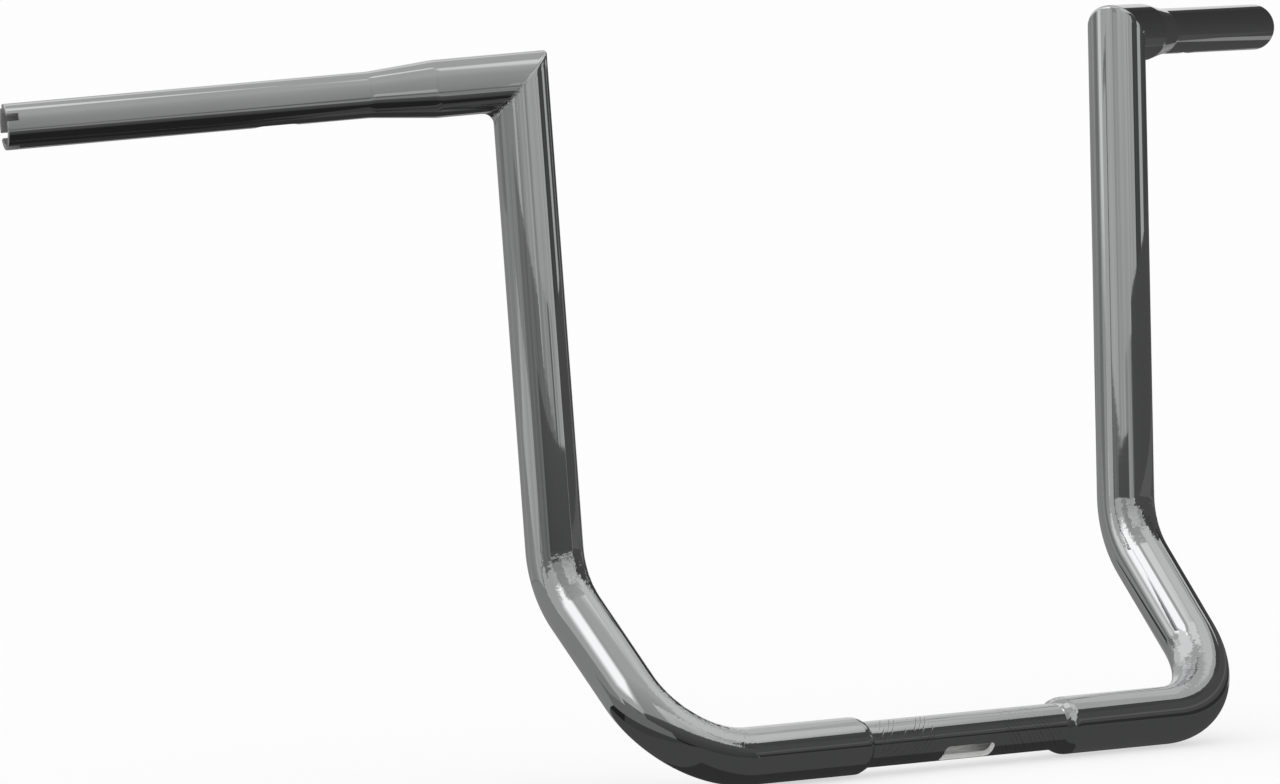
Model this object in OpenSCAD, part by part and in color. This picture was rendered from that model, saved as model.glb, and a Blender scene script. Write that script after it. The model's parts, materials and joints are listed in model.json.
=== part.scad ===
// Motorcycle handlebar with pointed, mitred top corners.
// A straight centre tube slips into two bent riser tubes. Each riser tube is mitred and welded
// to a swaged grip tube. X runs to the rider's right along the clamp axis, Y forwards and Z up.
// The origin is the middle of the clamp axis. The right half is modelled and mirrored to the left.

/* [Tubes] */
// Outer diameter of the riser tubes and of the grip tubes at the mitre
riser_d = 31.75; // [30:0.05:38.1]
// Outer diameter of the centre tube that the clamps hold
clamp_d = 25.4; // [22:0.05:26.4]
// Wall of the centre tube
clamp_wall = 3.05; // [1.6:0.05:4]
// Radial clearance of the centre tube inside the riser tubes
slip_gap = 0.125; // [0.05:0.005:0.3]
// Centreline radius of both bends in a riser tube
bend_r = 54; // [48:0.5:60]
// Loss of the tube's radius through a bend, where bending draws it down
bend_draw = 0.05; // [0.03:0.005:0.1]

/* [Clamp section] */
// Bare length of the centre tube between the two shoulder welds
clamp_len = 145; // [120:0.5:180]
// Length of each shoulder, from the bare centre tube to the full riser tube
shoulder_len = 7.5; // [6:0.1:10]
// Length of the centre tube that sits inside each riser tube
insert_len = 38; // [20:0.5:50]
// Length of the wiring slot in the centre tube
slot_len = 40; // [30:0.5:60]
// Width of the wiring slot
slot_w = 11.2; // [8:0.1:16]
// Turn of the wiring slot, forwards from straight down
slot_turn = 46; // [0:1:60]

/* [Riser tubes] */
// Distance from the middle to the corner point of the first bend
first_bend_x = 208; // [190:0.5:230]
// Sideways run of the slanted length between the bends
slant_out = 6; // [0:0.5:20]
// Backward run of the slanted length
slant_back = 90; // [80:0.5:110]
// Rise of the slanted length
slant_up = 91; // [80:0.5:110]
// Sideways run of the upright, from the second bend to the mitre
upright_out = 10; // [0:0.5:30]
// Backward run of the upright
upright_back = 19; // [0:0.5:40]
// Rise of the upright
upright_up = 275; // [200:1:400]

/* [Grip tubes] */
// Length of a grip tube from the mitre's corner point to its open end
grip_len = 286.5; // [240:0.5:340]
// Outer diameter of the grips
grip_d = 25.4; // [22:0.05:26.4]
// Wall of the grips
grip_wall = 3.05; // [1.6:0.05:4]
// Backward sweep of the grips
grip_sweep = 31; // [10:0.5:45]
// Downward slope of the grips
grip_drop = 4; // [0:0.5:15]
// Length of the full diameter, from the mitre's corner point to the swage
stub_len = 46; // [35:0.5:70]
// Length of the swage from the full diameter down to the grip
swage_len = 40.5; // [25:0.5:50]
// Length at each end of the swage over which its straight taper is rounded off
swage_round = 5; // [2:0.5:10]
// Distance from the open end to the middle of the wiring hole
hole_from_end = 150; // [110:1:170]
// Length of the wiring hole in the underside of each grip
hole_len = 25; // [16:0.5:35]
// Width of the wiring hole
hole_w = 10; // [6:0.1:14]

/* [Throttle end] */
// Number of notches in the open end of the right grip
notch_count = 4; // [2:1:6]
// Width of each notch
notch_w = 4.5; // [3:0.1:6]
// Depth of each notch
notch_depth = 6.5; // [3:0.1:10]
// Turn of the first notch, upwards from straight ahead
notch_turn = 30; // [0:1:90]

/* [Mitre welds] */
// Width of the ground weld between the two mitred tubes
mitre_weld_w = 3; // [1:0.1:4]
// Radius of the hollow face of the weld bead in the inside corner
bead_r = 5.8; // [4:0.1:8]
// Depth that the bead's toes are sunk below a perfectly tangent fillet
bead_toe = 0.1; // [0.05:0.05:0.4]
// Radius of the round patch that the bead covers
bead_reach = 9.9; // [8:0.1:12]
// Distance of that patch's middle from the inside corner, towards the tubes
bead_inset = 5; // [3:0.1:7]

/* [Hidden] */
$fn = 128;

// Radii that the tubes share. The riser bore is set by the centre tube that slips into it.
riser_r = riser_d / 2;
clamp_r = clamp_d / 2;
clamp_bore_r = clamp_r - clamp_wall;
riser_bore_r = clamp_r + slip_gap;
grip_r = grip_d / 2;
grip_bore_r = grip_r - grip_wall;

// The shoulder is one arc, ground over the weld and the end of the riser tube behind it
shoulder_start = clamp_len / 2;
shoulder_face = shoulder_start + shoulder_len / 2;
shoulder_end = shoulder_start + shoulder_len;
shoulder_arc_r = round_over_radius(riser_r - clamp_r, shoulder_len);

// Corner points of the right half's centreline, and the directions between them
first_corner = [first_bend_x, 0, 0];
second_corner = first_corner + [slant_out, -slant_back, slant_up];
mitre_corner = second_corner + [upright_out, -upright_back, upright_up];
clamp_dir = [1, 0, 0];
slant_dir = unit(second_corner - first_corner);
upright_dir = unit(mitre_corner - second_corner);
grip_dir = [
    cos(grip_drop) * cos(grip_sweep),
    -cos(grip_drop) * sin(grip_sweep),
    -sin(grip_drop)
];

// Frame of the grip: ahead and above, both square to the grip's axis
grip_ahead = [sin(grip_sweep), cos(grip_sweep), 0];
grip_above = cross(grip_dir, grip_ahead);

// The mitre plane stands half way between the two tubes that meet in it
mitre_normal = unit(upright_dir + grip_dir);
mitre_side = unit(cross(upright_dir, grip_dir));
mitre_turn = acos(upright_dir * grip_dir);
mitre_reach = riser_r * tan(mitre_turn / 2) + mitre_weld_w;

// The mitre's outer seam is an ellipse. The inside corner is at one end of its long axis.
mitre_inward = unit(grip_dir - upright_dir);
seam_half = riser_r / cos(mitre_turn / 2);
seam_end_r = riser_r * riser_r / seam_half;

// Length by which a bend and the straight lengths beside it run into each other
bend_tuck = sqrt((bend_r - riser_r) * bend_draw) / 3;

// Steps along each rounded end of the swage
swage_steps = 6;

// Size of cutting blocks, larger than anything they cut
cut_size = 4 * riser_d;

function unit(v) = v / norm(v);

// Radius of an arc that rounds over a step of this height in this length, to a micrometre
function round_over_radius(step, length) = round(500 * (length * length + step * step) / step) / 1000;

// Share of the swage's step that is done at a share of its length, with both ends rounded off
function swage_share(along, rounded) =
    along < rounded ? along * along / (2 * rounded * (1 - rounded))
    : along > 1 - rounded ? 1 - (1 - along) * (1 - along) / (2 * rounded * (1 - rounded))
    : (along - rounded / 2) / (1 - rounded);

// Distance from a bend's corner point to the ends of its arc
function bend_trim(from_dir, to_dir) = bend_r * tan(acos(from_dir * to_dir) / 2);

// Puts its children in a frame given by an origin and three axes
module in_frame(origin, x, y, z) {
    multmatrix([
        [x[0], y[0], z[0], origin[0]],
        [x[1], y[1], z[1], origin[1]],
        [x[2], y[2], z[2], origin[2]],
        [0, 0, 0, 1]
    ])
        children();
}

// Stands its children's Z axis on a direction, with X to the given side of it
module stand_on(origin, z, side) {
    x = unit(side - (side * z) * z);
    in_frame(origin, x, cross(z, x), z) children();
}

// Frame at the mitre's corner point with Z up the riser tube
module in_upright_frame() {
    stand_on(mitre_corner, upright_dir, clamp_dir) children();
}

// Frame at the mitre's corner point with Z out along the grip
module in_grip_frame() {
    in_frame(mitre_corner, grip_ahead, grip_above, grip_dir) children();
}

// Block on the riser's side of the mitre plane, up to this height over it
module below_mitre(height) {
    stand_on(mitre_corner, mitre_normal, mitre_side)
        translate([-cut_size / 2, -cut_size / 2, height - cut_size])
            cube(cut_size);
}

// Block on the grip's side of the mitre plane, from this height over it
module above_mitre(height) {
    stand_on(mitre_corner, mitre_normal, mitre_side)
        translate([-cut_size / 2, -cut_size / 2, height])
            cube(cut_size);
}

// Bar bent round a corner point: part of a ring, tangent to both directions, run on at both ends
module round_bend(corner, from_dir, to_dir, bar_r, arc_r, run_on) {
    turn = acos(from_dir * to_dir);
    inward = unit(to_dir - (to_dir * from_dir) * from_dir);
    centre = corner - from_dir * arc_r * tan(turn / 2) + inward * arc_r;
    run_on_angle = asin(run_on / arc_r);
    in_frame(centre, -inward, from_dir, cross(from_dir, inward))
        rotate(-run_on_angle)
            rotate_extrude(angle = turn + 2 * run_on_angle)
                translate([arc_r, 0])
                    circle(r = bar_r);
}

// Slot with round ends, cut outwards from a tube's axis
module round_slot(length, width, reach) {
    linear_extrude(reach) {
        square([length - width, width], center = true);
        for (end = [-1, 1])
            translate([end * (length - width) / 2, 0])
                circle(d = width);
    }
}

// Straight centre tube with the wiring slot
module clamp_tube() {
    full_len = 2 * (shoulder_face + insert_len);
    color("silver")
        difference() {
            in_frame([-full_len / 2, 0, 0], [0, 1, 0], [0, 0, 1], clamp_dir)
                linear_extrude(full_len)
                    difference() {
                        circle(r = clamp_r);
                        circle(r = clamp_bore_r);
                    }
            rotate([180 + slot_turn, 0, 0])
                round_slot(slot_len, slot_w, clamp_d);
        }
}

// First straight length of the riser tube, as a solid bar with its end rounded over
module rounded_end() {
    length = first_bend_x - bend_trim(clamp_dir, slant_dir) + bend_tuck;
    in_frame([0, 0, 0], [0, 1, 0], [0, 0, 1], clamp_dir)
        rotate_extrude() {
            translate([0, shoulder_end])
                square([riser_r, length - shoulder_end]);
            translate([0, shoulder_face])
                square([riser_bore_r, shoulder_len / 2]);
            intersection() {
                translate([riser_bore_r, shoulder_face])
                    square([riser_r - riser_bore_r, shoulder_len / 2]);
                translate([riser_r - shoulder_arc_r, shoulder_end])
                    circle(r = shoulder_arc_r);
            }
        }
}

// First straight length of the riser tube's bore, open at its end
module open_end() {
    length = first_bend_x - bend_trim(clamp_dir, slant_dir) + bend_tuck;
    in_frame([0, 0, 0], [0, 1, 0], [0, 0, 1], clamp_dir)
        cylinder(r = riser_bore_r, h = length);
}

// Both bends and the two lengths after them, as a solid bar
module bent_bar(bar_r) {
    first_trim = bend_trim(clamp_dir, slant_dir);
    second_trim = bend_trim(slant_dir, upright_dir);
    slant_len = norm(second_corner - first_corner) - first_trim - second_trim;
    upright_len = norm(mitre_corner - second_corner) - second_trim;
    round_bend(first_corner, clamp_dir, slant_dir, bar_r - bend_draw, bend_r, bend_tuck);
    stand_on(first_corner + slant_dir * first_trim, slant_dir, clamp_dir)
        translate([0, 0, -bend_tuck])
            cylinder(r = bar_r, h = slant_len + 2 * bend_tuck);
    round_bend(second_corner, slant_dir, upright_dir, bar_r - bend_draw, bend_r, bend_tuck);
    in_upright_frame()
        translate([0, 0, -upright_len - bend_tuck])
            cylinder(r = bar_r, h = upright_len + bend_tuck + mitre_reach);
}

// Bent tube from the shoulder up to the mitre
module riser_tube() {
    color("gainsboro")
        difference() {
            union() {
                rounded_end();
                bent_bar(riser_r);
            }
            union() {
                open_end();
                bent_bar(riser_bore_r);
            }
            above_mitre(-mitre_weld_w);
        }
}

// Weld between the centre tube and the end of a riser tube, ground round with that end
module shoulder_weld() {
    color("lightgray")
        in_frame([0, 0, 0], [0, 1, 0], [0, 0, 1], clamp_dir)
            rotate_extrude()
                intersection() {
                    translate([clamp_r, shoulder_face - shoulder_len])
                        square([riser_r - clamp_r, shoulder_len]);
                    translate([riser_r - shoulder_arc_r, shoulder_end])
                        circle(r = shoulder_arc_r);
                }
}

// Half section of a swaged tube from its axis to one skin, as radius across and length up
module swage_half(large_r, small_r, start, end) {
    rounded = swage_round / swage_len;
    swage = [
        for (first = [0, 1 - rounded], i = [0 : swage_steps])
            let (along = first + rounded * i / swage_steps)
                [
                    large_r - (large_r - small_r) * swage_share(along, rounded),
                    stub_len + swage_len * along
                ]
    ];
    polygon(concat([[0, start], [large_r, start]], swage, [[small_r, end], [0, end]]));
}

// Swaged tube from the mitre to the open end, with its wiring hole
module grip_tube(notched) {
    color("gainsboro")
        difference() {
            in_grip_frame()
                difference() {
                    rotate_extrude()
                        difference() {
                            swage_half(riser_r, grip_r, -mitre_reach, grip_len);
                            swage_half(riser_bore_r, grip_bore_r, -mitre_reach, grip_len);
                        }
                    translate([0, 0, grip_len - hole_from_end])
                        rotate([90, 90, 0])
                            round_slot(hole_len, hole_w, grip_d);
                    if (notched)
                        for (i = [0 : notch_count - 1])
                            rotate(notch_turn + i * 360 / notch_count)
                                translate([0, -notch_w / 2, grip_len - notch_depth])
                                    cube([grip_d, notch_w, 2 * notch_depth]);
                }
            below_mitre(0);
        }
}

// Butt weld that fills the mitre between the two tubes, ground flush
module mitre_weld() {
    color("lightgray")
        difference() {
            in_upright_frame()
                translate([0, 0, -2 * mitre_reach])
                    linear_extrude(3 * mitre_reach)
                        difference() {
                            circle(r = riser_r);
                            circle(r = riser_bore_r);
                        }
            above_mitre(0);
            below_mitre(-mitre_weld_w);
        }
}

// Fillet weld bead left in the inside corner of the mitre, where no grinder reaches.
// Its hollow face follows the seam round the corner, and it narrows towards both sides.
module corner_bead() {
    color("darkgray")
        difference() {
            translate(mitre_corner + mitre_inward * (seam_half - bead_inset))
                sphere(r = bead_reach);
            stand_on(mitre_corner + mitre_inward * (seam_half - seam_end_r), mitre_normal, mitre_side)
                rotate_extrude()
                    translate([seam_end_r + bead_r / cos(mitre_turn / 2), 0])
                        circle(r = bead_r + bead_toe);
            in_upright_frame()
                translate([0, 0, -cut_size])
                    cylinder(r = riser_r, h = 2 * cut_size);
            in_grip_frame()
                translate([0, 0, -cut_size])
                    cylinder(r = riser_r, h = 2 * cut_size);
        }
}

// The same piece on the rider's left
module on_left() {
    mirror([1, 0, 0]) children();
}

clamp_tube();
riser_tube();  // right_riser_tube
on_left() riser_tube();  // left_riser_tube
shoulder_weld();  // right_shoulder_weld
on_left() shoulder_weld();  // left_shoulder_weld
grip_tube(true);  // right_grip_tube
on_left() grip_tube(false);  // left_grip_tube
mitre_weld();  // right_mitre_weld
on_left() mitre_weld();  // left_mitre_weld
corner_bead();  // right_corner_bead
on_left() corner_bead();  // left_corner_bead
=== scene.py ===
"""A tall chrome motorcycle handlebar with pointed corners, plated all over and set in a pale studio."""

import json
import math

import bmesh
import bpy
from mathutils import Matrix, Vector, noise


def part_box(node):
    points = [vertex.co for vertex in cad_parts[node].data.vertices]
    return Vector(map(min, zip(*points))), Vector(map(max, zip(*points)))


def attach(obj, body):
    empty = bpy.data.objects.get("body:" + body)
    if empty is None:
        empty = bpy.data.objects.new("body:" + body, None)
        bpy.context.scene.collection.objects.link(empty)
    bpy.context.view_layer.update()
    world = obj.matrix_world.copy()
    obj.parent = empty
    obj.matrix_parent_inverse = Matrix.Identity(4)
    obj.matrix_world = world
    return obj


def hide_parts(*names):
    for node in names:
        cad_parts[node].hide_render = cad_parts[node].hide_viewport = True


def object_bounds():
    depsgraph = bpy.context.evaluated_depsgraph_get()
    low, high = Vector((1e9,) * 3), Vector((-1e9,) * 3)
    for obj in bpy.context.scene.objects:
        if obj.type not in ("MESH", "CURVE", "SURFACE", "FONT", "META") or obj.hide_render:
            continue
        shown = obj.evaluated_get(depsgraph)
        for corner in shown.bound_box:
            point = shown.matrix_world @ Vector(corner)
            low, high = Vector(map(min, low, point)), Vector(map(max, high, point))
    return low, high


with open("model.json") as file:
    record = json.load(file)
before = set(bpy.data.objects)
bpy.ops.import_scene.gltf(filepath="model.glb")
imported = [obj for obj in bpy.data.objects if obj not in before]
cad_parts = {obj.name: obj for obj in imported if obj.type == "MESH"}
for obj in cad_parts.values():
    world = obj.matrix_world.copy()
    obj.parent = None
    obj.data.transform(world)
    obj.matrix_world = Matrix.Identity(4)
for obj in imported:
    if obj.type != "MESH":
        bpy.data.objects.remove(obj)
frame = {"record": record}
cad_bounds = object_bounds()


# Clamp tube. A straight length of 1 inch steel tube that the handlebar clamps hold, chrome plated.
# Two bands of fine slanted grooves are rolled into it so that it can't turn in the clamps, and their
# bottoms are painted near black as painted shade. The wires come in through a long slot cut low on its
# front side. Its inside is dull steel painted almost white, as painted light that makes the slot look lit.
mounts = {mount["name"]: mount for mount in frame["record"]["mounts"]}
clamp_r = mounts["clamp_section"]["dims"]["r_mm"] / 1000
clamp_bore_r = 0.00965
clamp_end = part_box("clamp_tube")[1].x
plated_depth = 0.0005
bright_plate = (0.70, 0.705, 0.71, 1.0)
groove_count = 20
groove_w = 0.0005
groove_depth = 0.00006
groove_slant = math.radians(50)
groove_runout = 0.0008
groove_press = 0.55
press_spread = 1.3
press_patches = 130
press_step = 3.7
press_seed = 0.5
land_parts = 6
band_start = 0.026
band_end = 0.068
band_steps = 56
slot_len = 0.037
slot_corner = 0.0027
slot_w = 0.0112
slot_turn = math.radians(46)
corner_steps = 48


class Value:
    """A shader value that can be added, multiplied and so on, as plain maths."""

    def __init__(self, finish, socket):
        self.finish = finish
        self.socket = socket

    def maths(self, operation, first, second):
        return self.finish.node("ShaderNodeMath", {"operation": operation}, {0: first, 1: second})

    def __add__(self, other):
        return self.maths("ADD", self, other)

    def __radd__(self, other):
        return self.maths("ADD", other, self)

    def __sub__(self, other):
        return self.maths("SUBTRACT", self, other)

    def __rsub__(self, other):
        return self.maths("SUBTRACT", other, self)

    def __mul__(self, other):
        return self.maths("MULTIPLY", self, other)

    def __rmul__(self, other):
        return self.maths("MULTIPLY", other, self)


class Finish:
    """A material whose nodes are made one at a time."""

    def __init__(self, name):
        self.material = bpy.data.materials.new(name)
        self.material.use_nodes = True
        self.tree = self.material.node_tree
        self.tree.nodes.clear()

    def node(self, kind, settings=None, sockets=None, output=0):
        made = self.tree.nodes.new(kind)
        for name, value in (settings or {}).items():
            setattr(made, name, value)
        for name, value in (sockets or {}).items():
            if isinstance(value, Value):
                self.tree.links.new(value.socket, made.inputs[name])
            else:
                made.inputs[name].default_value = value
        return Value(self, made.outputs[output]) if made.outputs else None

    def mixed(self, share, first, second):
        """A colour between two others, which go into sockets 6 and 7 of a Mix node that mixes colours."""
        sockets = {"Factor": share, 6: first, 7: second}
        return self.node("ShaderNodeMix", {"data_type": "RGBA"}, sockets, output=2)


def chrome(name, plate_colour, haze, peel):
    """Bright chrome plate: a faint haze left by the polishing wheel over a slightly uneven plate."""
    finish = Finish(name)
    dim_colour = [0.93 * part for part in plate_colour[:3]] + [1.0]
    # Painted shade: the bottoms of the rolled grooves are coloured near black by their depth mask, so the
    # fine grooves read dark
    groove_shade_colour = (0.02, 0.02, 0.02, 1.0)
    place = finish.node("ShaderNodeTexCoord", output="Object")
    cloud = finish.node("ShaderNodeTexNoise", sockets={"Vector": place, "Scale": 28.0, "Detail": 3.0})
    wisps = finish.node("ShaderNodeTexNoise", sockets={"Vector": place, "Scale": 420.0, "Detail": 2.0})
    swell = finish.node("ShaderNodeTexNoise", sockets={"Vector": place, "Scale": 160.0, "Detail": 1.0})
    wrinkle = finish.node("ShaderNodeTexNoise", sockets={"Vector": place, "Scale": 340.0, "Detail": 2.0})
    creased = finish.node("ShaderNodeAttribute", {"attribute_name": "creased"}, output="Fac")
    groove_depth_and_shade = finish.node("ShaderNodeAttribute", {"attribute_name": "groove_depth_and_shade"}, output="Fac")
    tone = finish.mixed(cloud, plate_colour, dim_colour)
    groove_shaded_tone = finish.mixed(groove_depth_and_shade, tone, groove_shade_colour)
    uneven = finish.node("ShaderNodeBump", sockets={"Strength": peel, "Distance": 0.0002, "Height": swell})
    crinkled = finish.node(
        "ShaderNodeBump",
        sockets={"Strength": 1.0, "Distance": 0.0003, "Height": wrinkle * creased, "Normal": uneven},
    )
    plate = finish.node(
        "ShaderNodeBsdfPrincipled",
        sockets={
            "Base Color": groove_shaded_tone,
            "Metallic": 1.0,
            "Roughness": haze + haze * cloud * wisps,
            "Normal": crinkled,
        },
    )
    finish.node("ShaderNodeOutputMaterial", sockets={"Surface": plate})
    return finish.material


def dull_steel(name, grey):
    """Steel that no polishing wheel reaches. Its grey is painted light inside the clamp tube, where it is
    set almost white, and painted shade inside the grips, where it is set dark.
    """
    finish = Finish(name)
    place = finish.node("ShaderNodeTexCoord", output="Object")
    grain = finish.node("ShaderNodeTexNoise", sockets={"Vector": place, "Scale": 260.0, "Detail": 3.0})
    skin = finish.node(
        "ShaderNodeBsdfPrincipled",
        sockets={"Base Color": (grey, grey, 0.99 * grey, 1.0), "Roughness": 0.3 + 0.2 * grain},
    )
    finish.node("ShaderNodeOutputMaterial", sockets={"Surface": skin})
    return finish.material


def ring_edges(verts):
    """The edges that run round a ring of vertices."""
    chosen = set(verts)
    return list({edge for vert in verts for edge in vert.link_edges if chosen.issuperset(edge.verts)})


def open_edges(bm):
    """The edges at the open ends of a tube."""
    return [edge for edge in bm.edges if edge.is_boundary]


def new_verts(made):
    """The vertices among what an operator has made."""
    return [item for item in made["geom"] if isinstance(item, bmesh.types.BMVert)]


def drawn_on(bm, edges):
    """The tube drawn on from a ring: the vertices of the new ring, still in the old one's place."""
    return new_verts(bmesh.ops.extrude_edge_only(bm, edges=edges))


def pressed(x, groove):
    """How deep a groove is rolled at a place, from 0 to 1: the roller presses it in patches."""
    patchy = noise.noise(Vector((press_patches * x, press_step * groove, press_seed)))
    return min(max(groove_press + press_spread * patchy, 0), 1)


def cut_away(name, bm, cutter):
    """The solid less the cutter, as a new mesh."""
    pieces = []
    for made, part in ((bm, "blank"), (cutter, "cutter")):
        bmesh.ops.recalc_face_normals(made, faces=made.faces)
        mesh = bpy.data.meshes.new(name + "_" + part)
        made.to_mesh(mesh)
        made.free()
        pieces.append(bpy.data.objects.new(mesh.name, mesh))
        bpy.context.scene.collection.objects.link(pieces[-1])
    blank, tool = pieces
    cut = blank.modifiers.new("cut", "BOOLEAN")
    cut.object = tool
    cut.solver = "EXACT"
    depsgraph = bpy.context.evaluated_depsgraph_get()
    result = bmesh.new()
    result.from_mesh(blank.evaluated_get(depsgraph).to_mesh())
    for piece in pieces:
        bpy.data.objects.remove(piece)
    return result


def slotted_cutter(length, width, corner, depth, place):
    """A bar with rounded corners that cuts a slot, from the middle of a tube outwards along its own Z."""
    bm = bmesh.new()
    half_step = Matrix.Rotation(math.pi / corner_steps, 4, "Z")
    outline = bmesh.ops.create_circle(
        bm, segments=corner_steps, radius=corner, cap_ends=True, matrix=half_step
    )["verts"]
    for vert in outline:
        vert.co.x += math.copysign(length / 2 - corner, vert.co.x)
        vert.co.y += math.copysign(width / 2 - corner, vert.co.y)
    top = new_verts(bmesh.ops.extrude_face_region(bm, geom=bm.faces[:]))
    bmesh.ops.translate(bm, verts=top, vec=(0, 0, depth))
    bmesh.ops.transform(bm, matrix=place, verts=bm.verts)
    return bm


def finished(node, bm, materials):
    """A piece of the bar from its mesh: smooth but for its sharp edges, in place of its CAD node."""
    name = "dressed_" + node
    crease = math.radians(24)
    bmesh.ops.recalc_face_normals(bm, faces=bm.faces)
    mesh = bpy.data.meshes.new(name)
    bm.to_mesh(mesh)
    bm.free()
    mesh.shade_smooth()
    mesh.set_sharp_from_angle(angle=crease)
    for material in materials:
        mesh.materials.append(material)
    piece = bpy.data.objects.new(name, mesh)
    bpy.context.scene.collection.objects.link(piece)
    even = piece.modifiers.new("even_reflections", "WEIGHTED_NORMAL")
    even.keep_sharp = True
    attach(piece, "root")
    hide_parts(node)


chrome_tube = chrome("bright_chrome", bright_plate, haze=0.035, peel=0.04)

# Stations along the tube: where a ring stands, how far the grooves have turned, whether they are rolled in
helix = math.tan(groove_slant) / clamp_r
stations = [(-clamp_end, 0.0, 0)]
for side in (-1, 1):
    start, end = sorted((side * band_start, side * band_end))
    first_turn = stations[-1][1]
    stations.append((start, first_turn, 0))
    for step in range(band_steps + 1):
        x = start + groove_runout + (end - start - 2 * groove_runout) * step / band_steps
        stations.append((x, first_turn - side * (x - start) * helix, 1))
    stations.append((end, stations[-1][1], 0))
stations.append((clamp_end, stations[-1][1], 0))

# Spots round the tube from one groove to the next: the groove's edge, bottom and edge, then the land
groove_pitch = math.tau * clamp_r / groove_count
spots = [0.0, groove_w / 2, groove_w]
for part in range(1, land_parts):
    spots.append(groove_w + (groove_pitch - groove_w) * part / land_parts)

bm = bmesh.new()
bmesh.ops.create_circle(bm, segments=groove_count * len(spots), radius=clamp_r)
bm.verts.ensure_lookup_table()
bottoms = bm.verts.layers.int.new("groove_bottom")
# How deep each groove bottom is pressed: it sinks the groove and also paints it near black in the chrome, as
# painted shade
groove_depth_and_shade = bm.verts.layers.float.new("groove_depth_and_shade")
for index, vert in enumerate(bm.verts):
    groove, part = divmod(index, len(spots))
    angle = math.tau * groove / groove_count + spots[part] / clamp_r
    vert.co = (-clamp_end, clamp_r * math.cos(angle), clamp_r * math.sin(angle))
    vert[bottoms] = groove + 1 if part == 1 else 0
ring = bm.verts[:]
for (last_x, last_turn, _), (x, turn, rolled) in zip(stations, stations[1:]):
    ring = drawn_on(bm, ring_edges(ring))
    bmesh.ops.translate(bm, verts=ring, vec=(x - last_x, 0, 0))
    bmesh.ops.rotate(bm, verts=ring, cent=(0, 0, 0), matrix=Matrix.Rotation(turn - last_turn, 3, "X"))
    for vert in ring:
        if vert[bottoms]:
            vert[groove_depth_and_shade] = rolled * pressed(x, vert[bottoms])
            vert.co.yz *= (clamp_r - groove_depth * vert[groove_depth_and_shade]) / vert.co.yz.length

# The end face is drawn in to the bore, and the bore is drawn back to the other end
for narrowing, shift in ((clamp_bore_r / clamp_r, 0), (1, -2 * clamp_end)):
    ring = drawn_on(bm, ring_edges(ring))
    bmesh.ops.scale(bm, verts=ring, vec=(1, narrowing, narrowing))
    bmesh.ops.translate(bm, verts=ring, vec=(shift, 0, 0))
bmesh.ops.bridge_loops(bm, edges=open_edges(bm))

slot_place = Matrix.Rotation(math.pi + slot_turn, 4, "X")
bm = cut_away("clamp_tube", bm, slotted_cutter(slot_len, slot_w, slot_corner, 2 * clamp_r, slot_place))
for face in bm.faces:
    deepest = min(vert.co.yz.length for vert in face.verts)
    face.material_index = int(deepest < clamp_r - plated_depth)
# Painted light: the bare steel inside the clamp tube is set almost white so the inside of the slot looks lit
painted_light_bore = dull_steel("painted_light_bore", grey=0.95)
finished("clamp_tube", bm, [chrome_tube, painted_light_bore])


# Riser tubes. Each is a length of 1 1/4 inch steel tube, bent twice on a mandrel: up and back from the
# clamp section, then upright, which leaves fine wrinkles on the inside of both bends. Its lower end is
# rounded over and ground with the weld there, and its top is cut at half the corner's angle.
riser_r = 0.015875
riser_bore_r = 0.012825
shoulder_start = 0.0725
shoulder_len = 0.0075
shoulder_steps = 12
lump_height = 0.00025
lumps_per_metre = 420
bend_r = 0.054
bend_steps = 48
crease_spread = {"right": 0.012, "left": 0.004}
crease_ease = 6
mitre_weld_w = 0.003
round_steps = 192
first_corner = Vector((0.208, 0, 0))
second_corner = first_corner + Vector((0.006, -0.090, 0.091))
mitre_corner = second_corner + Vector((0.010, -0.019, 0.275))
clamp_dir = Vector((1, 0, 0))
slant_dir = (second_corner - first_corner).normalized()
upright_dir = (mitre_corner - second_corner).normalized()
grip_dir = Vector(mounts["right_grip"]["axis"]).normalized()
mitre_normal = (upright_dir + grip_dir).normalized()
mitre_reach = riser_r * math.tan(upright_dir.angle(grip_dir) / 2)
shoulder_face = shoulder_start + shoulder_len / 2
shoulder_end = shoulder_start + shoulder_len
shoulder_arc_r = (shoulder_len ** 2 + (riser_r - clamp_r) ** 2) / (2 * (riser_r - clamp_r))


def turned(outline, origin, axis, closed):
    """A shape turned on a lathe: the outline's points are (distance along the axis, radius)."""
    bm = bmesh.new()
    across = axis.orthogonal().normalized()
    verts = [bm.verts.new(origin + axis * along + across * radius) for along, radius in outline]
    for first, second in zip(verts, verts[1:] + verts[:1] if closed else verts[1:]):
        bm.edges.new((first, second))
    bmesh.ops.spin(
        bm,
        geom=bm.verts[:] + bm.edges[:],
        cent=origin,
        axis=axis,
        angle=math.tau,
        steps=round_steps,
        use_merge=True,
    )
    bmesh.ops.recalc_face_normals(bm, faces=bm.faces)
    return bm


def eased(share):
    """A share from 0 to 1 that starts and ends gently."""
    held = min(max(share, 0), 1)
    return held * held * (3 - 2 * held)


def upper_edges(bm):
    """The edges at the upper end of a riser tube, of both its walls."""
    return [edge for edge in open_edges(bm) if edge.verts[0].co.x > shoulder_end]


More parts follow.
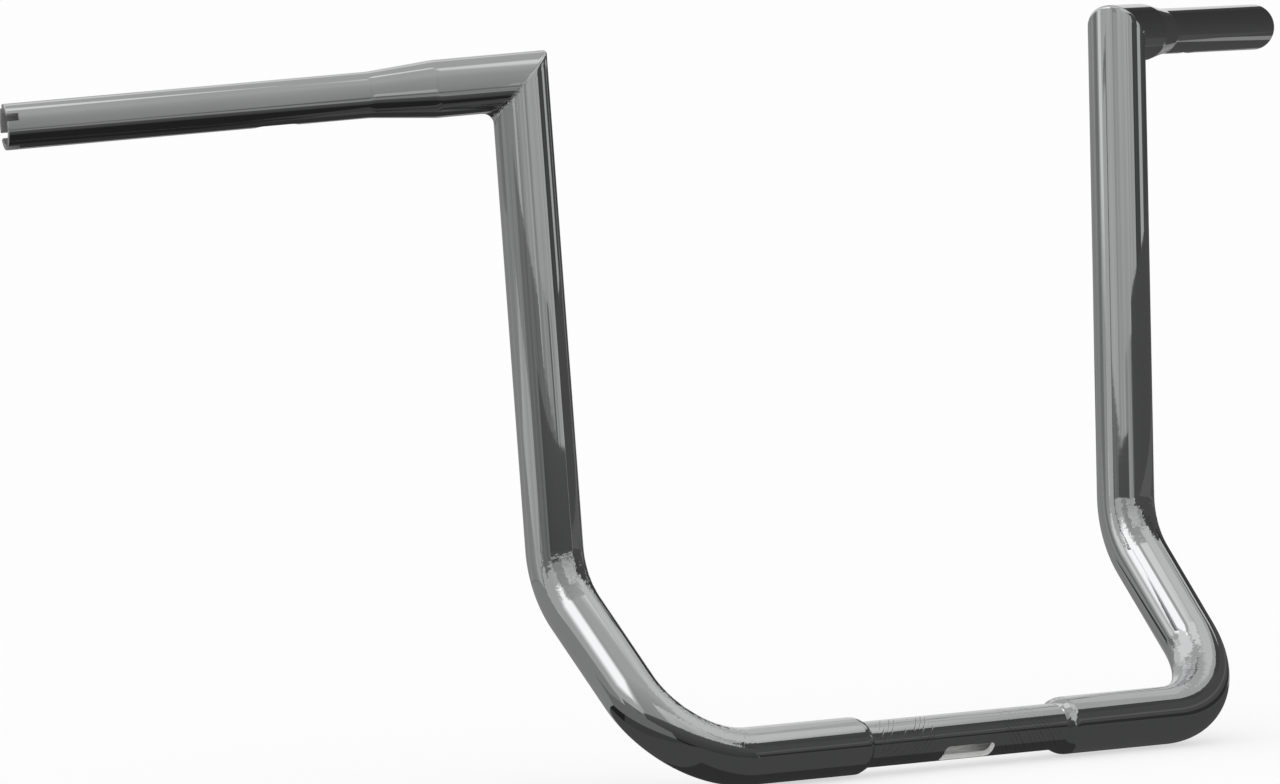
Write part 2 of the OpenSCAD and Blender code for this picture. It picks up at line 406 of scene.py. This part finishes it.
def bent_on(bm, corner, from_dir, to_dir, spread=0):
    """Both walls of a tube bent on round a corner point, wrinkled on the inside of the bend. The wrinkles
    can spread a little way past the middle of the tube, and they fade out at both ends of the bend."""
    turn = from_dir.angle(to_dir)
    inward = (to_dir - to_dir.dot(from_dir) * from_dir).normalized()
    centre = corner - from_dir * bend_r * math.tan(turn / 2) + inward * bend_r
    edges = upper_edges(bm)
    verts = list({vert for edge in edges for vert in edge.verts})
    straight = set(bm.verts)
    axis = from_dir.cross(inward).normalized()
    bmesh.ops.spin(bm, geom=verts + edges, cent=centre, axis=axis, angle=turn, steps=bend_steps)
    creased = bm.verts.layers.float["creased"]
    for vert in bm.verts:
        if vert not in straight:
            arm = vert.co - centre
            arm -= axis * arm.dot(axis)
            share = arm.angle(-inward) / turn
            inside = eased((bend_r + spread - arm.length) / riser_r)
            vert[creased] = inside * eased(crease_ease * min(share, 1 - share))


def run_on(bm, length, direction):
    """Both walls of a tube drawn on in a straight line."""
    bmesh.ops.translate(bm, verts=drawn_on(bm, upper_edges(bm)), vec=direction * length)


def bend_trim(from_dir, to_dir):
    """Distance from a bend's corner point to the ends of its arc."""
    return bend_r * math.tan(from_dir.angle(to_dir) / 2)


def round_over(start, end):
    """Points up the arc of the shoulder, as (distance along the tube, radius)."""
    points = []
    for step in range(shoulder_steps + 1):
        along = start + (end - start) * step / shoulder_steps
        height = math.sqrt(shoulder_arc_r ** 2 - (shoulder_end - along) ** 2)
        points.append((along, riser_r - shoulder_arc_r + height))
    return points


def ground_uneven(bm):
    """The shoulder left a little lumpy by the grinder, from the toe of the weld to the full tube."""
    for vert in bm.verts:
        share = (vert.co.x - shoulder_start) / shoulder_len
        height = vert.co.yz.length
        if 0 < share < 1 and height > clamp_r:
            lump = lump_height * noise.noise(vert.co * lumps_per_metre) * math.sin(math.pi * share)
            vert.co.yz *= 1 + lump / height


def mitred(bm, past_corner, cleared):
    """A tube cut off a little past or short of the corner's middle plane, with its wall closed there. What
    is cleared away is the outer side, towards the grip, or the inner side, towards the riser."""
    bmesh.ops.bisect_plane(
        bm,
        geom=bm.verts[:] + bm.edges[:] + bm.faces[:],
        plane_co=mitre_corner + mitre_normal * past_corner,
        plane_no=mitre_normal,
        clear_outer=cleared == "outer",
        clear_inner=cleared == "inner",
    )
    bmesh.ops.bridge_loops(bm, edges=open_edges(bm))


def finished_on(side, piece, bm, materials):
    """One of a pair of pieces, made for the rider's right and turned over for the left."""
    if side == "left":
        bmesh.ops.scale(bm, verts=bm.verts, vec=(-1, 1, 1))
        bmesh.ops.reverse_faces(bm, faces=bm.faces)
    finished(side + "_" + piece, bm, materials)


first_trim = bend_trim(clamp_dir, slant_dir)
second_trim = bend_trim(slant_dir, upright_dir)
level_end = first_corner.x - first_trim
slant_len = (second_corner - first_corner).length - first_trim - second_trim
upright_len = (mitre_corner - second_corner).length - second_trim
for side in ("right", "left"):
    outline = [(level_end, riser_bore_r), (shoulder_face, riser_bore_r)]
    outline += round_over(shoulder_face, shoulder_end) + [(level_end, riser_r)]
    bm = turned(outline, Vector(), clamp_dir, closed=False)
    ground_uneven(bm)
    bm.verts.layers.float.new("creased")
    bent_on(bm, first_corner, clamp_dir, slant_dir, crease_spread[side])
    run_on(bm, slant_len, slant_dir)
    bent_on(bm, second_corner, slant_dir, upright_dir)
    run_on(bm, upright_len + 2 * mitre_reach, upright_dir)
    mitred(bm, -mitre_weld_w, cleared="outer")
    finished_on(side, "riser_tube", bm, [chrome_tube])


# Shoulder welds. The weld between the clamp tube and the end of each riser tube, ground round with that
# end. It is still a little lumpy, and plated with the rest.
chrome_ground = chrome("ground_weld_chrome", bright_plate, haze=0.045, peel=0.08)
for side in ("right", "left"):
    outline = round_over(shoulder_start, shoulder_face) + [(shoulder_face, clamp_r)]
    bm = turned(outline, Vector(), clamp_dir, closed=True)
    ground_uneven(bm)
    finished_on(side, "shoulder_weld", bm, [chrome_ground])


# Grip tubes. Each starts as 1 1/4 inch tube, cut at half the corner's angle, and is swaged down to
# 1 inch for the controls and the grip. The switch wires leave through a hole underneath, and the
# throttle end, on the right, has four notches in its rim. The inside is bare steel painted dark grey,
# as painted shade inside the tube.
grip_len = 0.2865
grip_r = mounts["right_grip"]["dims"]["r_mm"] / 1000
grip_bore_r = mounts["right_bar_end"]["dims"]["r_mm"] / 1000
stub_len = 0.046
swage_len = 0.0405
swage_round = 0.004
swage_steps = 10
rim_round = 0.0003
weld_lap = 0.002
hole_from_end = 0.150
hole_len = 0.025
hole_w = 0.010
notch_count = 4
notch_w = 0.0045
notch_depth = 0.0065
notch_turn = math.radians(30)
grip_ahead = Vector((-grip_dir.y, grip_dir.x, 0)).normalized()
grip_above = grip_dir.cross(grip_ahead)
# Painted shade: the bare steel inside the grips is set dark so the inside of the tube looks shaded
grip_bore_painted_shade = dull_steel("grip_bore_painted_shade", grey=0.2)


def swaged(large_r, small_r):
    """Points down the swage, as (distance along the tube, radius): a straight taper with rounded ends."""
    rounded = swage_round / swage_len
    points = []
    for first in (0, 1 - rounded):
        for step in range(swage_steps + 1):
            along = first + rounded * step / swage_steps
            near_end = min(along, 1 - along) ** 2 / (2 * rounded * (1 - rounded))
            share = near_end if first == 0 else 1 - near_end
            points.append((stub_len + swage_len * along, large_r - (large_r - small_r) * share))
    return points


def in_grip_frame(along):
    """Matrix of the frame on the grip's axis: X ahead, Y above and Z out along the grip."""
    turn = Matrix((grip_ahead, grip_above, grip_dir)).transposed().to_4x4()
    return Matrix.Translation(mitre_corner + grip_dir * along) @ turn


def from_grip_axis(place):
    """Distance of a point from the axis of the grip."""
    arm = place - mitre_corner
    return (arm - grip_dir * arm.dot(grip_dir)).length


for side in ("right", "left"):
    outside = [(-2 * mitre_reach, riser_r)] + swaged(riser_r, grip_r)
    rim = [
        (grip_len - rim_round, grip_r),
        (grip_len, grip_r - rim_round),
        (grip_len, grip_bore_r + rim_round),
        (grip_len - rim_round, grip_bore_r),
    ]
    inside = swaged(riser_bore_r, grip_bore_r)[::-1] + [(-2 * mitre_reach, riser_bore_r)]
    bm = turned(outside + rim + inside, mitre_corner, grip_dir, closed=False)
    mitred(bm, weld_lap, cleared="inner")
    hole_place = in_grip_frame(grip_len - hole_from_end) @ Matrix.Rotation(math.pi / 2, 4, "X")
    hole_place = hole_place @ Matrix.Rotation(math.pi / 2, 4, "Z")
    bm = cut_away("grip", bm, slotted_cutter(hole_len, hole_w, hole_w / 2, 2 * grip_r, hole_place))
    if side == "right":
        for notch in range(notch_count):
            cutter = bmesh.new()
            bmesh.ops.create_cube(cutter, size=1)
            bmesh.ops.scale(cutter, verts=cutter.verts, vec=(2 * grip_r, notch_w, 2 * notch_depth))
            bmesh.ops.translate(cutter, verts=cutter.verts, vec=(grip_r, 0, 0))
            spin = Matrix.Rotation(notch_turn + math.tau * notch / notch_count, 4, "Z")
            bmesh.ops.transform(cutter, matrix=in_grip_frame(grip_len) @ spin, verts=cutter.verts)
            bm = cut_away("grip", bm, cutter)
    for face in bm.faces:
        deepest = min(from_grip_axis(vert.co) for vert in face.verts)
        face.material_index = int(deepest < grip_r - plated_depth)
    finished_on(side, "grip_tube", bm, [chrome_tube, grip_bore_painted_shade])


# Mitre welds. The butt weld that closes the corner between riser and grip, ground flush with both tubes.
# The grinder rounds its edge most at the outer tip, which draws a thin bright line along the corner.
edge_round = 0.0019
side_round = 0.3
tip_start = 0.3
mitre_side = upright_dir.cross(grip_dir).normalized()
mitre_inward = (grip_dir - upright_dir).normalized()
half_turn = upright_dir.angle(grip_dir) / 2
seam_half = riser_r / math.cos(half_turn)


def seam_point(angle):
    """Point on the ellipse where the skins of the two tubes meet, from the inside of the corner round."""
    return mitre_corner + mitre_inward * seam_half * math.cos(angle) + mitre_side * riser_r * math.sin(angle)


for side in ("right", "left"):
    bm = bmesh.new()
    section = Matrix((mitre_side, mitre_inward / math.cos(half_turn), mitre_normal)).transposed().to_4x4()
    for radius in (riser_r, riser_bore_r):
        seam = bmesh.ops.create_circle(
            bm, segments=round_steps, radius=radius, matrix=Matrix.Translation(mitre_corner) @ section
        )["verts"]
        seam_edges = ring_edges(seam)
        for direction, width in ((-upright_dir, mitre_weld_w), (grip_dir, weld_lap)):
            far = drawn_on(bm, seam_edges)
            bmesh.ops.translate(bm, verts=far, vec=direction * width / math.cos(half_turn))
        if radius == riser_r:
            crease = seam_edges
    for height in (-mitre_weld_w, weld_lap):
        rim = [
            edge for edge in open_edges(bm)
            if abs((edge.verts[0].co - mitre_corner).dot(mitre_normal) - height) < mitre_weld_w / 10
        ]
        bmesh.ops.bridge_loops(bm, edges=rim)
    bmesh.ops.recalc_face_normals(bm, faces=bm.faces)
    rounded = bmesh.ops.bevel(
        bm, geom=crease, offset=edge_round, affect="EDGES", segments=8, profile=0.5, material=-1
    )
    for vert in rounded["verts"]:
        arm = vert.co - mitre_corner
        angle = math.atan2(arm.dot(mitre_side) / riser_r, arm.dot(mitre_inward) / seam_half)
        middle = seam_point(angle)
        outer_tip = eased((-math.cos(angle) - tip_start) / (1 - tip_start))
        vert.co = middle + (vert.co - middle) * (side_round + (1 - side_round) * outer_tip)
    finished_on(side, "mitre_weld", bm, [chrome_ground])


# Corner beads. A fillet of weld in the inside of each corner, where no grinder reaches. It is widest in
# the corner, thins out along the seam on both sides, and keeps the lumps of the weld pool under its plate.
bead_leg = 0.0057
thin_leg = 0.0014
bead_middle = 0.42
bead_end = math.radians(92)
end_taper = 5
bead_swell = 0.35
swells_along = 14
swell_seed = 1.5
bead_lump = 0.00028
lumps_along = 43
lumps_across = 2.2
lump_seed = 4.0
bead_proud = 0.00016
bead_skin = 0.0008
bead_plate = (0.68, 0.685, 0.69, 1.0)
corner_half = math.pi / 2 - half_turn
chrome_bead = chrome("bead_chrome", bead_plate, haze=0.05, peel=0.12)
for side in ("right", "left"):
    bm = bmesh.new()
    bmesh.ops.create_grid(bm, x_segments=180, y_segments=28, size=1)
    for vert in bm.verts:
        along, across, _ = vert.co
        angle = bead_end * along
        swell = 1 + bead_swell * noise.noise(Vector((swells_along * along, 0, swell_seed)))
        leg = (thin_leg + (bead_leg - thin_leg) * math.exp(-(angle / bead_middle) ** 2)) * swell
        leg *= eased(end_taper * (1 - abs(along)))
        hollow_r = leg * math.tan(corner_half)
        turn = half_turn * across
        out = hollow_r / math.sin(corner_half) - hollow_r * math.cos(turn)
        between = math.sin(angle) ** 2 + math.cos(angle) ** 2 * math.cos(2 * half_turn)
        out *= math.tan(math.acos(min(between, 1)) / 2) / math.tan(half_turn)
        lumpy = noise.noise(Vector((lumps_along * along, lumps_across * across, lump_seed)))
        lump = bead_lump * lumpy * (1 - across * across)
        outward = mitre_inward * math.cos(angle) + mitre_side * math.sin(angle)
        raised = seam_point(angle) + outward * (out + lump + bead_proud)
        vert.co = raised + mitre_normal * hollow_r * math.sin(turn)
    bmesh.ops.recalc_face_normals(bm, faces=bm.faces)
    bmesh.ops.solidify(bm, geom=bm.faces[:], thickness=bead_skin)
    finished_on(side, "corner_bead", bm, [chrome_bead])


# Camera. Long lens, so that near and far tubes show the same width, a little above the clamp axis
# and ahead of the rider's right-hand side.
picture_w = 1280
picture_h = 784
pixels_per_metre = 1826.3
origin_x = 955.93
origin_y = 735.78
camera_turn = math.radians(42.75)
camera_rise = math.radians(5.49)
to_camera = Vector((
    math.sin(camera_turn) * math.cos(camera_rise),
    math.cos(camera_turn) * math.cos(camera_rise),
    math.sin(camera_rise),
))
picture_right = Vector((-math.cos(camera_turn), math.sin(camera_turn), 0))
picture_up = to_camera.cross(picture_right)
lens = bpy.data.cameras.new("long_lens")
lens.sensor_width = 36
lens.lens = 1000
distance = lens.lens / lens.sensor_width * picture_w / pixels_per_metre
lens.clip_end = 3 * distance
aim = picture_right * (picture_w / 2 - origin_x) / pixels_per_metre
aim += picture_up * (origin_y - picture_h / 2) / pixels_per_metre
camera = bpy.data.objects.new("camera", lens)
bpy.context.scene.collection.objects.link(camera)
axes = Matrix((picture_right, picture_up, to_camera)).transposed().to_4x4()
camera.matrix_world = Matrix.Translation(aim + to_camera * distance) @ axes
bpy.context.scene.camera = camera


# Stage. A wide pale floor under an even white sky, and the cards and flags that a photographer stands
# round bright chrome. They show only in the plate's reflections: dark flags and kerbs low down, grey
# walls and strips behind them, and a key light and soft boxes higher up, all in a grey tent.
floor_gap = 0.001
floor_z = cad_bounds[0][2] - floor_gap
floor_half = 40
floor_lift = 0.6
tent_grey = 0.48
tent_r = 8


def staged(name, bm, surface):
    """A piece of the stage from its mesh."""
    mesh = bpy.data.meshes.new(name)
    bm.to_mesh(mesh)
    bm.free()
    mesh.materials.append(surface)
    piece = bpy.data.objects.new(name, mesh)
    bpy.context.scene.collection.objects.link(piece)
    return piece


def only_in_reflections(piece):
    """Keeps a card out of the picture and out of the light on the floor."""
    piece.visible_camera = False
    piece.visible_diffuse = False
    piece.visible_shadow = False
    piece.visible_transmission = False
    piece.visible_volume_scatter = False


def glow(name, heights, levels, folds):
    """The brightness of a card. It changes evenly from low to high, varies from fold to fold as a curtain
    does, and falls to the grey of the tent where the card fades out."""
    finish = Finish(name)
    place = finish.node("ShaderNodeTexCoord", output="Object")
    height = finish.node("ShaderNodeSeparateXYZ", sockets={"Vector": place}, output="Z")
    level = finish.node(
        "ShaderNodeMapRange",
        sockets={
            "Value": height,
            "From Min": heights[0],
            "From Max": heights[1],
            "To Min": levels[0],
            "To Max": levels[1],
        },
    )
    level_place = finish.node("ShaderNodeVectorMath", {"operation": "MULTIPLY"}, {0: place, 1: (1, 1, 0)})
    bearing = finish.node("ShaderNodeVectorMath", {"operation": "NORMALIZE"}, {0: level_place})
    fold = finish.node("ShaderNodeTexNoise", sockets={"Vector": bearing, "Scale": 7.0, "Detail": 4.0})
    fade = finish.node("ShaderNodeAttribute", {"attribute_name": "fade"}, output="Fac")
    folded = level * (1 - folds + 2 * folds * fold)
    light = finish.node("ShaderNodeEmission", sockets={"Color": tent_grey + (folded - tent_grey) * fade})
    finish.node("ShaderNodeOutputMaterial", sockets={"Surface": light})
    return finish.material


def card(width, height, soft):
    """A card about its middle, which fades out over a soft width inside its edges."""
    bm = bmesh.new()
    parts = 32 if soft else 1
    bmesh.ops.create_grid(bm, x_segments=parts, y_segments=parts, size=0.5)
    bmesh.ops.scale(bm, verts=bm.verts, vec=(width, height, 1))
    fade = bm.verts.layers.float.new("fade")
    for vert in bm.verts:
        vert[fade] = 1
        if soft:
            from_side = width / 2 - abs(vert.co.x)
            from_end = height / 2 - abs(vert.co.y)
            vert[fade] = eased(from_side / soft) * eased(from_end / soft)
    return bm


def standing_card(name, bearing, away, across, heights, levels, folds=0.0, soft=0.0):
    """An upright card. Its bearing is in degrees from ahead towards the rider's right."""
    bm = card(across[1] - across[0], heights[1] - heights[0], soft)
    upright = Matrix.Rotation(math.pi / 2, 3, "X")
    bmesh.ops.rotate(bm, verts=bm.verts, cent=(0, 0, 0), matrix=upright)
    bmesh.ops.translate(bm, verts=bm.verts, vec=(sum(across) / 2, away, sum(heights) / 2))
    swung = Matrix.Rotation(-math.radians(bearing), 3, "Z")
    bmesh.ops.rotate(bm, verts=bm.verts, cent=(0, 0, 0), matrix=swung)
    only_in_reflections(staged(name, bm, glow(name, heights, levels, folds)))


def level_card(name, x_range, y_range, z, level, folds=0.0, soft=0.0):
    """A level card of one brightness."""
    bm = card(x_range[1] - x_range[0], y_range[1] - y_range[0], soft)
    bmesh.ops.translate(bm, verts=bm.verts, vec=(sum(x_range) / 2, sum(y_range) / 2, z))
    only_in_reflections(staged(name, bm, glow(name, (z - 1, z), (level, level), folds)))


# The camera sees the floor lifted towards white, and the bar gets no more light from that
pale = Finish("pale_floor")
paint = pale.node("ShaderNodeBsdfDiffuse", sockets={"Color": (0.96, 0.96, 0.96, 1.0)})
seen = pale.node("ShaderNodeLightPath", output="Is Camera Ray")
white = pale.node("ShaderNodeEmission", sockets={"Color": (1.0, 1.0, 1.0, 1.0), "Strength": 1.0})
lifted = pale.node("ShaderNodeMixShader", sockets={0: floor_lift * seen, 1: paint, 2: white})
pale.node("ShaderNodeOutputMaterial", sockets={"Surface": lifted})
floor_bm = bmesh.new()
bmesh.ops.create_grid(floor_bm, x_segments=1, y_segments=1, size=floor_half)
bmesh.ops.translate(floor_bm, verts=floor_bm.verts, vec=(0, 0, floor_z))
staged("floor", floor_bm, pale.material)

# Level cards: the reach along X and along Y, the height and the brightness
level_card("grey_floor", (-6, 6), (-6, 6), floor_z + 0.0003, 0.28, folds=0.5)
level_card("pale_floor_right", (0.95, 2.1), (-1.15, -0.2), floor_z + 0.0006, 0.45, folds=0.5)
level_card("dark_table_right", (0.26, 0.85), (-0.22, 0.27), floor_z + 0.0009, 0.02)
level_card("kerb_foot", (0.26, 0.32), (-0.07, 0.13), floor_z + 0.0012, 0.06)
level_card("contact_shade", (-0.083, 0.20), (-0.03, 0.015), floor_z + 0.0012, 0.04)
level_card("dark_table_back", (-0.05, 0.40), (-0.50, -0.15), floor_z + 0.0008, 0.04)
level_card("dark_table_left", (-0.9, 0.26), (-0.15, 0.65), floor_z + 0.0009, 0.075)
level_card("dark_floor_left", (-1.45, -0.9), (-2.0, 0.3), floor_z + 0.0009, 0.07)
level_card("dark_floor_far_left", (-2.8, -1.75), (-2.0, 0.3), floor_z + 0.0009, 0.07)
level_card("soft_box_right", (-0.35, 0.30), (-0.15, 0.39), 1.199, 0.86, soft=0.1)
level_card("soft_box_left", (-1.2, -0.2), (-0.2, 1.0), 1.2, 0.68, soft=0.2)
level_card("back_soft_box", (0.16, 1.6), (-2.8, -0.2), 1.5, 0.88)
level_card("back_soft_box_left", (-1.2, -0.2), (-2.4, -1.1), 1.5, 0.76)

# Standing cards: the bearing, the distance, the reach across, the lower and upper edge, and their brightness
standing_card("low_front_flag", 0, 0.27, (-0.02, 0.80), (floor_z, 0.17), (0.05, 0.10))
standing_card("low_left_flag", -45, 0.42, (-1.0, 0.20), (floor_z, 0.25), (0.085, 0.085))
standing_card("dark_rail", -45, 0.415, (-1.0, 0.20), (-0.004, 0.045), (0.035, 0.035))
standing_card("light_rail", -45, 0.415, (-1.0, 0.20), (0.095, 0.125), (0.13, 0.13))
standing_card("side_kerb", 90, 0.32, (-0.15, 0.13), (floor_z, 0.03), (0.18, 0.18))
standing_card("side_kerb_back", 90, 0.321, (-0.15, 0.13), (floor_z, 0.03), (0.02, 0.02))
standing_card("back_kerb", 180, 0.13, (-0.70, -0.15), (floor_z, 0.085), (0.28, 0.28))
standing_card("back_kerb_back", 180, 0.131, (-0.70, -0.15), (floor_z, 0.085), (0.03, 0.03))
standing_card("side_flag", -60, 1.2, (-0.75, 0.65), (floor_z, 1.05), (0.075, 0.075), folds=0.6)
standing_card("side_pale_strip", -60, 1.15, (-0.30, 0.03), (0.20, 0.42), (0.48, 0.48))
standing_card("left_low_flag", -118, 2.0, (-0.35, 1.3), (floor_z, 1.08), (0.07, 0.035), folds=0.4)
standing_card("key_light", 96, 2.2, (-1.4, 1.1), (0.75, 4.6), (1.35, 1.35), soft=0.6)
standing_card("side_light", 122, 2.0, (-0.30, 0.30), (0.17, 0.80), (0.80, 0.80), soft=0.1)
standing_card("front_wall", 20, 3.0, (-2.4, 2.6), (floor_z, 6.0), (0.29, 0.46), folds=0.2)
standing_card("front_left_panel", 20, 2.95, (-2.4, 0.15), (floor_z, 0.62), (0.36, 0.36), folds=0.8)
standing_card("front_right_panel", 20, 2.95, (0.62, 2.6), (floor_z, 0.62), (0.42, 0.42), folds=0.8)
standing_card("front_pale_card", 0, 0.8, (-0.30, 0.56), (0.25, 1.0), (0.42, 0.66), folds=0.5)
standing_card("right_low_flag", 72, 1.3, (-0.75, 0.60), (floor_z, 0.21), (0.18, 0.18), folds=0.6)
standing_card("front_dark_flag", 28, 1.6, (-1.0, 1.2), (floor_z, 0.17), (0.17, 0.17), folds=0.9)
standing_card("back_left_light", -139, 2.6, (-0.45, 0.45), (floor_z, 1.4), (0.72, 0.72))
standing_card("left_wall", -115, 3.0, (-1.3, 1.8), (1.0, 3.2), (0.60, 0.60))
standing_card("back_wall", 145, 3.0, (-1.5, 3.5), (floor_z, 0.45), (0.28, 0.38), folds=0.9)
standing_card("high_back_wall", 160, 3.0, (-1.5, 1.5), (0.45, 2.5), (0.68, 0.68))
standing_card("middle_strip", 3, 2.2, (-0.16, 0.10), (floor_z, 0.9), (0.15, 0.15))
standing_card("pale_strip", -18, 2.2, (-0.30, 0.30), (floor_z, 0.9), (0.40, 0.40), folds=0.5)
standing_card("dark_strip", -37, 2.0, (-0.25, 0.20), (floor_z, 1.2), (0.10, 0.10), folds=0.4)
standing_card("bright_strip", 77, 2.1, (-0.14, 0.14), (floor_z, 0.9), (0.55, 0.55), folds=0.5)
standing_card("back_strip", 150, 2.4, (-0.6, 0.3), (floor_z, 0.7), (0.20, 0.20), folds=0.6)
tent_bm = bmesh.new()
bmesh.ops.create_uvsphere(tent_bm, u_segments=48, v_segments=24, radius=tent_r)
tent_glow = glow("grey_tent", (-tent_r, tent_r), (tent_grey, tent_grey), 0)
only_in_reflections(staged("grey_tent", tent_bm, tent_glow))

world = bpy.data.worlds.new("sky")
world.use_nodes = True
world.node_tree.nodes["Background"].inputs["Color"].default_value = (1, 1, 1, 1)
world.node_tree.nodes["Background"].inputs["Strength"].default_value = 1.0
bpy.context.scene.world = world
bpy.context.scene.view_settings.view_transform = "Standard"
